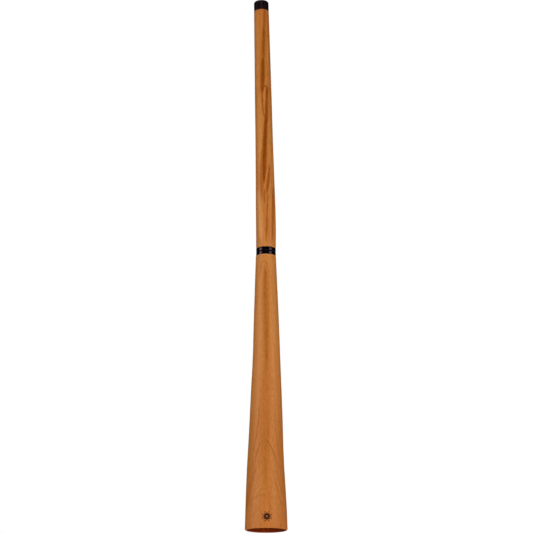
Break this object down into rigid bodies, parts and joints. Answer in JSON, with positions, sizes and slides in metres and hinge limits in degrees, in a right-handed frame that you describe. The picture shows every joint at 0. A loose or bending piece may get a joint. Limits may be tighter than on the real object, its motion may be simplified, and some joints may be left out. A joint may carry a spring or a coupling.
{
  "type": "didgeridoo",
  "caption": "Long wooden wind instrument: a slim, slightly leaning upper tube and a flaring bell, joined by a push-in black joint, with a push-on black mouthpiece.",
  "frame": {"origin": "centre of the bell's rim, on the surface that the instrument stands on", "axes": "+Z along the instrument, from the bell to the mouthpiece; the glue lines of both sections lie in the XZ plane; -Y is the front, and the upper tube leans towards -X"},
  "size_m": [0.1092, 0.1092, 1.5004],
  "materials": {
    "wood": "oiled cherry, satin, stained dark red inside the bore",
    "joint": "polished black",
    "mouthpiece": "smooth satin black",
    "seal": "matt black, greased"
  },
  "bodies": {
    "bell_section": {"bell_shell_front": "wood", "bell_shell_back": "wood", "joint_socket": "joint"},
    "seals": {"o_ring_upper": "seal", "o_ring_lower": "seal"},
    "upper_section": {"upper_shell_front": "wood", "upper_shell_back": "wood", "joint_plug": "joint"},
    "mouthpiece": {"mouthpiece": "mouthpiece"}
  },
  "joints": [
    {"name": "section_pull", "type": "slide", "parent": "bell_section", "child": "seals", "axis": [0, 0, 1], "range_m": [0, 0.08]},
    {"name": "section_turn", "type": "hinge", "parent": "seals", "child": "upper_section", "pos_m": [-0.0006, 0, 0.745], "axis": [0, 0, 1], "continuous": true},
    {"name": "mouthpiece_pull", "type": "slide", "parent": "upper_section", "child": "mouthpiece", "axis": [-0.0205, 0, 0.9998], "range_m": [0, 0.025]}
  ]
}
